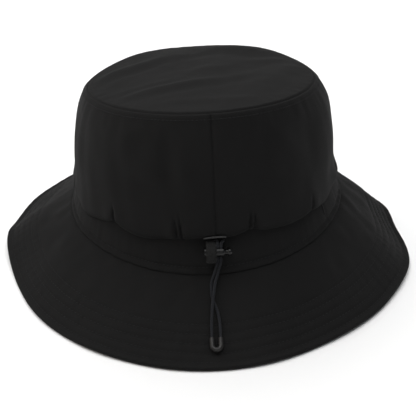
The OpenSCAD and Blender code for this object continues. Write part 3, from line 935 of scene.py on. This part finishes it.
# %% [markdown]
# ## The brim
# The brim is two plies of cloth with a stiffening ply between them, turned at the edge and quilted
# by five rows of stitching. Each row pulls the plies together, so the cloth lies in a shallow
# groove there and puffs up between rows, with small puckers across them. One surface function
# gives every ply, and an amount of lift picks which one. Farther out, slow waves let the sides
# ride up off the table while the back and the front stay down.

# %% Brim surface
BRIM_T = 2.9
BRIM_SLOPE = 61.0
ROW_STEP = 6.0
ROW_FIRST = 4.0
ROWS = [ROW_FIRST + ROW_STEP * k for k in range(5)]
# Parts, level and upright, of a step square to the slope: through the cloth, and for its relief.
THROUGH_LEVEL, THROUGH_UP = 0.59, 0.807
RELIEF_LEVEL, RELIEF_UP = 0.5, 0.83
# Waves of the brim: angle, height, spread in degrees, and the share out where each is full.
BRIM_TOP_STATION = np.array([SEAM_A + 0.2, SEAM_B + 0.2, SEAM_Z - 0.4, SEAM_RISE])
BRIM_WAVES = [(-118, 1.0, 12, 0.8), (-72, -0.6, 10, 0.7), (-146, 1.6, 18, 0.8),
              (62, 1.0, 10, 0.9), (85, -1.4, 8, 0.9), (102, 3.4, 8, 0.6), (122, -0.8, 8, 0.9),
              (146, 1.2, 14, 0.9)]


def level_side(u):
    """Like side_share, but level over the arcs that the brim stands on."""
    return np.maximum(0, side_share(u) - 0.1) / 0.9


# How the brim's outline departs from an oval: angle, share of its radius and spread in degrees.
BRIM_OUTLINE = [(-38, 0.006, 20), (34, -0.021, 19), (77, 0.02, 12), (-72, -0.02, 16),
                (-96, 0.006, 10), (94, -0.017, 6), (107, -0.012, 10), (-8, 0.014, 20)]


def brim_base(k, u, height):
    """Brim at a share k of the way out, height mm above its lower face. Its profile is a straight
    slope that flattens where it meets the table, by a soft maximum."""
    a = BRIM_TOP_STATION[0] + (BRIM_A - 0.3 - BRIM_TOP_STATION[0]) * k
    b = BRIM_TOP_STATION[1] + (BRIM_B - 0.3 - BRIM_TOP_STATION[1]) * k
    slope = BRIM_TOP_STATION[2] - (BRIM_TOP_STATION[2] - BRIM_T) * k / 0.95
    z = BRIM_T + 0.8 * np.logaddexp(0, (slope - BRIM_T) / 0.8)
    flat = smooth(k, 0.86, 0.97)
    down = BRIM_T - height
    a = a - THROUGH_LEVEL * down * (1 - flat)
    b = b - THROUGH_LEVEL * down * (1 - flat)
    z = z - down * (THROUGH_UP + (1 - THROUGH_UP) * flat)
    spread = 1 + k * sum(s * bump_at(wrapped(u, c), 0, w) for c, s, w in BRIM_OUTLINE)
    a, b = a * spread, b * spread
    rise = SEAM_RISE * side_share(u) * (1 - k) + BRIM_RISE * level_side(u) * k
    return np.stack([a * np.sin(u), -b * np.cos(u), z + rise], -1)


def from_edge(k):
    """Millimetres from the brim's edge, at a share k of the way out."""
    return (1 - k) * BRIM_SLOPE


def brim_quilt(k, u):
    """Relief of the quilting: grooves at the rows, puffs between, puckers across them, and the
    groove of the seam with the band."""
    inset = from_edge(k)
    relief = np.zeros(np.broadcast(k, u).shape)
    for row in ROWS:
        relief -= 0.34 * bump_at(inset, row, 1.0)
    puff = 0.5 + 0.5 * np.cos((inset - ROW_FIRST) / ROW_STEP * 2 * np.pi + np.pi)
    puckers = ripples(np.degrees(u) * BRIM_ARC, inset * 0.25, 5.5, 41)
    relief += smooth(inset, 33, 27) * (0.14 * puff + 0.12 * puckers)
    return relief * smooth(k, 0, 0.06) - 0.6 * bump_at(k, 0.012, 0.012)


def brim_folds(k, u):
    """Soft folds in mm that all the layers of the brim follow together, and the shallow track
    at the centre back in which the cord end slides."""
    inset = from_edge(k)
    x = np.degrees(u) * BRIM_ARC
    small = 0.3 * smooth(inset, 27, 33) * ripples(x, inset, 20, 42)
    large = 0.45 * (0.7 + ripples(x, inset, 55, 43)) * smooth(inset, 60, 40)
    calm = 1 - bump_at(wrapped(u, -0.5), 0, 9)
    track = bump_at(wrapped(u, -0.5), 0, 5) * smooth(k, 0.05, 0.2) * smooth(k, 0.98, 0.86)
    return (small + large) * smooth(k, 0, 0.06) * calm - 1.1 * track


def brim_surface(k, u, height, quilt=1.0):
    """Brim ply with its waves and its quilting. quilt is -1 on the lower ply, where the rows
    sink upwards, and 0 in the middle. One crest at the left falls faster on its far side."""
    p = brim_base(k, u, height)
    wave = sum(h * bump_at(wrapped(u, c), 0, w) * smooth(k, 0.05, reach)
               for c, h, w, reach in BRIM_WAVES)
    crest = wrapped(u, -103) - 10 * k
    wave = wave + 5.5 * smooth(k, 0, 0.8) * np.where(crest > 0, bump_at(crest, 0, 13),
                                                     bump_at(crest, 0, 6.5))
    relief = brim_folds(k, u) + quilt * brim_quilt(k, u)
    p[..., 2] += wave * (0.3 + 0.7 * level_side(u)) + RELIEF_UP * relief
    p = p + outward(u) * (RELIEF_LEVEL * relief)[..., None]
    return lean(p)


# %% Brim plies


def brim_rows():
    """Shares from the seam to the edge: finer over the quilted rows and finest at the edge."""
    edges = [(1 - r / BRIM_SLOPE, 0.028) for r in ROWS] + [(1.0, 0.02), (0.012, 0.02)]
    return fine_near(edges, (0, 1), 0.045, 0.011)


EDGE_ROUND = 1.1


def brim_ply(layer, side):
    """One half of a brim ply. Its last rows are a quarter ellipse over the edge, from the ply's
    own rim E to the middle M, at M + (E - M) cos(a) + EDGE_ROUND * outward * sin(a)."""
    columns = fine_near([], SIDES[side], 0.0118, 0.01)
    place = (BRIM_T, 1.0) if layer == "top" else (0.0, -1.0)
    grid = on_grid(brim_surface, brim_rows(), columns, *place)
    grid[..., 2] = np.maximum(grid[..., 2], 0.0)
    middle = brim_surface(np.ones_like(columns), columns, BRIM_T / 2, 0.0)
    middle[..., 2] = np.maximum(middle[..., 2], 0.9)
    angle = np.radians([26, 52, 74, 90])[:, None, None]
    rim = (middle + (grid[-1] - middle) * np.cos(angle)
           + EDGE_ROUND * outward(columns) * np.sin(angle))
    grid = np.concatenate([grid, rim])
    if layer == "under":
        grid = grid[::-1]
    node = "brim_" + layer + "_" + side
    finish_piece(cloth(node.capitalize(), grid, 0.8), SHELL, "shell_fabric", node)


for layer in ("top", "under"):
    for side in SIDES:
        brim_ply(layer, side)

stiffener_rows = np.linspace(0.04, 0.9, 40)
stiffener_columns = np.linspace(-math.pi, math.pi, 480, endpoint=False)
stiffener = cloth("Brim_interlining", on_grid(brim_surface, stiffener_rows, stiffener_columns,
                                              1.7, 0.0), 0.4, wrap=True)
finish_piece(stiffener, STIFFENER, "interlining", "brim_interlining")

# %% [markdown]
# ## Lining and care label
# Inside, a thin smooth lining hangs from the top seam and is caught in the sweatband. It is made
# like the outer pieces, 2 mm further in, with longer and looser ripples. The satin label is blank.

# %% Lining
LINING_STATIONS = np.array([
    [TIP_A - 1.5, TIP_B - 1.5, TIP_Z - 4.2, -TIP_DROP],
    [TIP_A + 1.2, TIP_B + 0.8, TIP_Z - 7.4, -2.2],
    [TIP_A + 4.2, TIP_B + 2.8, TIP_Z - 14, -2.8],
    [TIP_A + 7.0, TIP_B + 4.4, TIP_Z - 27, -3.6],
    [TIP_A + 8.8, TIP_B + 5.4, TIP_Z - 45, -4],
    [WALL_A - 4.8, WALL_B - 2.4, HEM_Z + 15, -4],
    [WALL_A - 5, WALL_B - 4.8, HEM_Z + 10, -2.5],
    [WALL_A - 8.9, WALL_B - 8.5, HEM_Z + 8.6, -2]])
LINING_CURVE = spline(LINING_STATIONS, 400)


def lining_surface(row, u):
    """Lining of the wall at a share row down its profile, with slow ripples and a seam."""
    station = at_profile(LINING_CURVE, np.linspace(0, 1, len(LINING_CURVE)), row)
    x = np.degrees(u) * LINING_ARC
    relief = 0.6 * ripples(x, 30 * row, 34, 51) * np.sin(np.pi * row) ** 2 - 0.5
    relief = relief + tip_outline(u) * smooth(row, 0.7, 0)
    return lean(oval(station, u) + outward(u) * relief[..., None])


def lining_tip_surface(inset, u):
    """Lining of the top panel: the panel's shape, 4 mm lower at the seam, without its folds."""
    share = np.clip(inset / TIP_A, 0, 1)
    p = top_point(share, u, 2.0, 4.0)
    p[..., 2] += 3.0 * (1 - (1 - share) ** 2.4)
    p[..., 2] += 0.7 * ripples(p[..., 0], p[..., 1], 40, 61) * smooth(inset, 2, 20) - 0.6
    return lean(p)


for side, ends in SIDES.items():
    lining_grid = on_grid(lining_surface, np.linspace(0, 1, 40), np.linspace(*ends, 150))
    piece = cloth("Lining_side_" + side, lining_grid, 0.4)
    finish_piece(piece, LINING, "lining_fabric", "lining_side_" + side)
lining_tip_rows = fine_near([(1.5, 2.5)], (0, TIP_A - 4), 3.2, 0.8)
lining_tip = polar_cloth("Lining_tip", lining_tip_surface, lining_tip_rows, TURN[::2], 0.4)
finish_piece(lining_tip, LINING, "lining_fabric", "lining_tip")

# %% Care label
LABEL_WIDTH, LABEL_LENGTH, LABEL_TURN = 20, 26, math.radians(-24)


def label_grid():
    """A satin tape that hangs from the sweatband's top edge and curls a little at its free end."""
    low, high = corners("care_label")
    across, down = np.meshgrid(np.linspace(-LABEL_WIDTH / 2, LABEL_WIDTH / 2, 24),
                               np.linspace(0, LABEL_LENGTH, 30))
    curl = 0.9 * np.sin(down / LABEL_LENGTH * 2.6) + 0.012 * across ** 2
    cos, sin = math.cos(LABEL_TURN), math.sin(LABEL_TURN)
    x = (low[0] + high[0]) / 2 + across * cos - curl * sin
    y = (low[1] + high[1]) / 2 + across * sin + curl * cos
    return np.stack([x, y, high[2] - down], -1)


finish_piece(cloth("Care_label", label_grid(), 0.25), LABEL, "label_fabric", "care_label")

# %% [markdown]
# ## Stitching
# Machine stitches lie on the cloth like a row of short beads, each one diving into the cloth at
# both ends. One function lays them along any line on a surface: it asks the surface for points
# and normals, and bends a small six-sided tube for every stitch, all as one array.

# %% Stitches


def stitch_line(surface, down, angles, pitch=2.9, length=2.2, radius=0.24, lift=0.1, side=1):
    """Grids of stitches along the line (down, angles) of a surface. A stitch's centre is the
    surface point raised along the normal by lift + 0.4 r - (lift + 1.2 r) (2t)^4, for t from -1/2
    to 1/2, and its radius falls from r as sqrt(1 - (1.9t)^4). down is in millimetres on the wall
    and a share of the way on the other surfaces."""
    fine = np.linspace(angles[0], angles[1], 6000)
    line = surface(np.full(len(fine), down), fine)
    along = np.concatenate([[0], np.cumsum(np.linalg.norm(np.diff(line, axis=0), axis=1))])
    count = int(along[-1] / pitch)
    t = np.linspace(-0.5, 0.5, 5)
    places = (np.arange(count)[:, None] + 0.5) * pitch + t * length
    u = np.interp(places, along, fine)
    d = np.full_like(u, down)
    step = 0.35 if down > 2 else 0.006
    centre = surface(d, u)
    below = surface(d + step, u)
    beside = surface(d, u + 0.004)
    normal = np.cross(below - centre, beside - centre) * side
    normal /= np.linalg.norm(normal, axis=2, keepdims=True)
    forward = beside - centre
    forward /= np.linalg.norm(forward, axis=2, keepdims=True)
    across = np.cross(normal, forward)
    rise = lift + radius * 0.4 - (lift + radius * 1.2) * (2 * t) ** 4
    thick = radius * np.sqrt(np.maximum(0.12, 1 - (1.9 * t) ** 4))
    a = np.linspace(0, 2 * np.pi, 6, endpoint=False)
    ring = (across[:, :, None] * np.cos(a)[None, None, :, None]
            + normal[:, :, None] * np.sin(a)[None, None, :, None])
    return (centre + normal * rise[None, :, None])[:, :, None] + ring * thick[None, :, None, None]


def sew(name, lines):
    """One mesh from many stitches: 24 wall quads each, and two quads that close each end."""
    grid = np.concatenate(lines)
    count = len(grid)
    quads = grid_faces(5, 6, True)
    ends = np.array([[0, 1, 2, 3], [0, 3, 4, 5], [27, 26, 25, 24], [29, 28, 27, 24]])
    one = np.concatenate([quads[:, ::-1], ends[:, ::-1]])
    faces = (np.arange(count)[:, None, None] * 30 + one[None]).reshape(-1, 4)
    uv = np.stack(np.meshgrid(np.linspace(0, 1, 6), np.linspace(0, 2.2, 5)), -1).reshape(-1, 2)
    obj = make_object(name, grid.reshape(-1, 3), faces, np.tile(uv, (count, 1)))
    print(name, "stitches:", count)
    finish_piece(obj, THREAD, "thread")


def top_ply(k, u):
    """Upper face of the brim."""
    return brim_surface(k, u, BRIM_T)


def lower_ply(k, u):
    """Lower face of the brim."""
    p = brim_surface(k, u, 0.0, -1.0)
    p[..., 2] = np.maximum(p[..., 2], 0.3)
    return p


FULL = (-math.pi, math.pi)
# A bartack is a stack of short stitches across the strip, at one place on its right.
TACK_ANGLE, TACK_HALF = math.radians(57), 0.011
tack_ends = (TACK_ANGLE - TACK_HALF, TACK_ANGLE + TACK_HALF)
tack = [stitch_line(band_surface, share, tack_ends, 2.0, 1.7, 0.4, 0.3)
        for share in np.linspace(0.22, 0.66, 16)]
sew("Brim_top_stitching", [stitch_line(top_ply, 1 - r / BRIM_SLOPE, FULL) for r in ROWS])
sew("Brim_under_stitching", [
    stitch_line(lower_ply, 1 - r / BRIM_SLOPE, FULL, side=-1) for r in ROWS])
sew("Crown_stitching", [
    stitch_line(wall_surface, 5.2, FULL, 2.6, 2.0),
    stitch_line(band_surface, 0.86, FULL, 2.6, 2.0), *tack])
sew("Sweatband_stitching", [stitch_line(sweatband_surface, 0.04, FULL, 2.8, 2.1, side=-1,
                                        lift=1.15)])

# %% [markdown]
# ## The cord lock at the back
# A webbing loop hangs from the hem and holds a small barrel lock, and a sewn bar covers the place
# where the cord comes out. Barrel, plunger and cord end are exact in the frame already, so they
# only take their plastic. The loop is a profile in Y and Z carried across the width of the
# webbing, and the bar is a round section carried along a short line over the hem.

# %% Webbing loop
LOCK_Z = 54.4
TAB_X = (-4.9, 0.4)
TAB_T = 0.8
TAB_COLUMNS = 15


def webbing_loop():
    """Outer face of the loop: its profile, moved out by the webbing's thickness and carried along
    X. Its edges are rounded by pulling the outermost columns in."""
    inside = np.array([[5.6, 4.6], [2.2, 4.4], [-1.4, 3.9], [-3.2, 1.8], [-3.5, -1.5],
                       [-2.6, -4.6], [-1.2, -6.6], [0.5, -7.2], [1.9, -5.8], [2.9, -3.6],
                       [3.5, -0.6], [3.9, 1.6], [5.4, 3.4]])
    path = spline(inside, 90)
    t = np.gradient(path, axis=0)
    t /= np.linalg.norm(t, axis=1, keepdims=True)
    out = np.stack([-t[:, 1], t[:, 0]], 1)
    out *= np.sign(((path - path.mean(0)) * out).sum(1).mean())
    width = TAB_X[1] - TAB_X[0]
    x = TAB_X[0] + width * (0.5 - 0.5 * np.cos(np.linspace(0, np.pi, TAB_COLUMNS)))
    edge = np.abs(x - (TAB_X[0] + width / 2)) / (width / 2)
    thick = TAB_T * (1 - 0.55 * smooth(edge, 0.8, 1.0))
    ribs = 0.06 * np.cos(np.linspace(0, np.pi * 12, TAB_COLUMNS))
    outer = path[:, None] + out[:, None] * (thick + ribs)[None, :, None]
    rows = np.concatenate([np.broadcast_to(x, outer.shape[:2])[..., None], outer], 2)
    return rows + np.array([0, LOCK_Y, LOCK_Z])


finish_piece(cloth("Lock_tab", webbing_loop(), TAB_T), WEBBING, "webbing", "lock_tab")

# %% Sewn bar


def bar_grid():
    """A thin bar on the hem: a rounded section carried along a line that climbs a little to the
    right and sinks at both ends."""
    low, high = corners("cord_exit_bar")
    along = np.linspace(0, 1, 40)
    x = low[0] + (high[0] - low[0]) * along
    end = np.sqrt(np.maximum(0.02, 1 - np.abs(2 * along - 1) ** 8))
    a = np.linspace(0, 2 * np.pi, 20, endpoint=False)
    cy, cz = (low[1] + high[1]) / 2 - 0.5, (low[2] + high[2]) / 2 + 1.2
    sag = 0.4 * (2 * along - 1) ** 2 - 0.45 * (2 * along - 1)
    y = cy + 0.5 * end[:, None] * np.cos(a)[None]
    z = cz - sag[:, None] + 0.65 * end[:, None] * np.sin(a)[None]
    return np.stack([np.broadcast_to(x[:, None], y.shape), y, z], -1)


bar_rings = bar_grid()
bar = closed_tube("Cord_exit_bar", bar_rings, grid_uv(bar_rings))
finish_piece(bar, BAR_PAINTED_HIGHLIGHT, "bar_plastic", "cord_exit_bar")

# %% Finishes on the CAD pieces


def repaint(node, material):
    """Puts a material on a CAD node, whose shape is right already."""
    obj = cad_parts[node]
    obj.data.materials.clear()
    obj.data.materials.append(material)


for node, material in (("lock_barrel", PLASTIC), ("lock_plunger", PLASTIC),
                       ("cord_end", PALE_PLASTIC)):
    repaint(node, material)
    print("repainted:", node)

# %% [markdown]
# ## Spring of the lock
# The coil sits in the barrel behind the plunger: one fixed coil of six turns along X, as long as
# the spring's box in the frame.

# %% Lock spring
SPRING_TURNS, WIRE_R, PRESS_TRAVEL = 6, 0.2, 2.0
low, high = corners("lock_spring")
share = np.linspace(0, 1, 150)
winding = 2 * np.pi * SPRING_TURNS * share
middle, coil_r = (low + high) / 2, (high[2] - low[2]) / 2 - WIRE_R
coil = np.stack([low[0] + WIRE_R + (high[0] - low[0] - 2 * WIRE_R) * share,
                 middle[1] + coil_r * np.cos(winding), middle[2] + coil_r * np.sin(winding)], 1)
spring = finish_piece(tube("Lock_spring_coil", coil, WIRE_R, 8), STEEL, "spring_steel",
                      "lock_spring")
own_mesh(spring)

# %% [markdown]
# ## Table and light
# A pale floor and soft studio light: a broad strong light overhead, and four weak ones in front,
# behind and at the sides, the left one warm and the right one cool. Black cloth needs them, because
# only light that grazes it draws its folds and its outline.

# %% Floor and lights


def make_floor():
    """Pale floor just under the hat, part of the stage and not of the hat."""
    size, z = 3.0, -0.0002
    mesh = bpy.data.meshes.new("Floor")
    mesh.from_pydata([(-size, -size, z), (size, -size, z), (size, size, z), (-size, size, z)], [],
                     [(0, 1, 2, 3)])
    floor = bpy.data.objects.new("Floor", mesh)
    bpy.context.scene.collection.objects.link(floor)
    material, _, shader = base_material("Pale_floor", 0.9, specular=0.1)
    shader.inputs["Base Color"].default_value = (0.96, 0.96, 0.96, 1)
    mesh.materials.append(material)


def area_light(name, place, aim, size, energy, colour=(1, 1, 1)):
    """Square area light that faces a point."""
    data = bpy.data.lights.new(name, "AREA")
    data.size, data.energy, data.color = size, energy, colour
    aim_at(bpy.data.objects.new(name, data), place, aim)


make_floor()
area_light("Overhead", (-0.25, 0.35, 2.0), (0, 0, 0), 3.4, 83)
area_light("Behind", (0.1, 2.2, 1.6), (0, 0, 0.1), 1.8, 5)
area_light("Front", (0.2, -2.3, 0.9), (0, 0, 0.05), 1.6, 4)
area_light("Left", (-2.0, -0.4, 0.9), (0, 0, 0.08), 1.1, 6, (1.0, 0.91, 0.8))
area_light("Right", (2.0, -0.3, 0.9), (0, 0, 0.08), 1.1, 0.9, (0.66, 0.82, 1.0))

world = bpy.data.worlds.new("Studio")
bpy.context.scene.world = world
world.use_nodes = True
background = world.node_tree.nodes["Background"]
background.inputs["Color"].default_value = (1, 1, 1, 1)
background.inputs["Strength"].default_value = 0.08
bpy.context.scene.view_settings.view_transform = "Standard"
